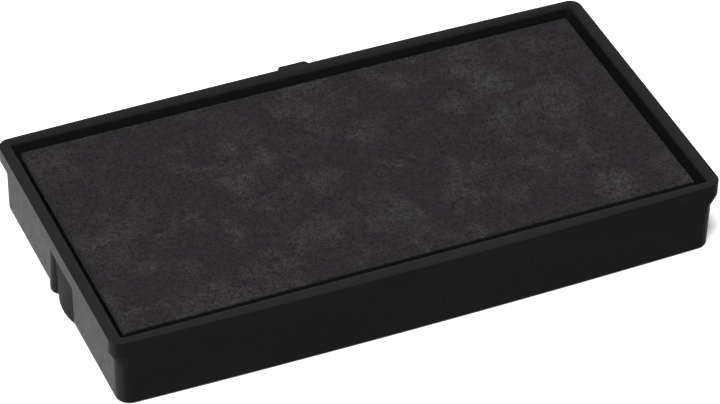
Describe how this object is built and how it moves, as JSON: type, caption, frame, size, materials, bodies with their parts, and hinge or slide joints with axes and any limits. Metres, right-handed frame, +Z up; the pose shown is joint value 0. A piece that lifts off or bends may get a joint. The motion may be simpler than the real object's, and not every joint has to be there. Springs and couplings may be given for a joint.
{
  "type": "ink pad",
  "caption": "Shallow moulded tray with lipped short ends, holding an ink-soaked felt pad faced with cloth: a replacement ink cartridge for a self-inking stamp.",
  "frame": {"origin": "middle of the footprint's bounding box, on the surface that the tray stands on", "axes": "+X along the tray's length, +Y towards the long wall with the stop tab, +Z up, out of the pad's face"},
  "size_m": [0.08, 0.0429, 0.0099],
  "materials": {
    "tray_plastic": "satin black moulded plastic",
    "inked_felt": "dense felt soaked with black ink",
    "inked_cloth": "fine napped cloth, damp with black ink"
  },
  "bodies": {
    "root": {"cartridge_tray": "tray_plastic", "reservoir_felt": "inked_felt", "face_cloth": "inked_cloth"}
  },
  "joints": []
}
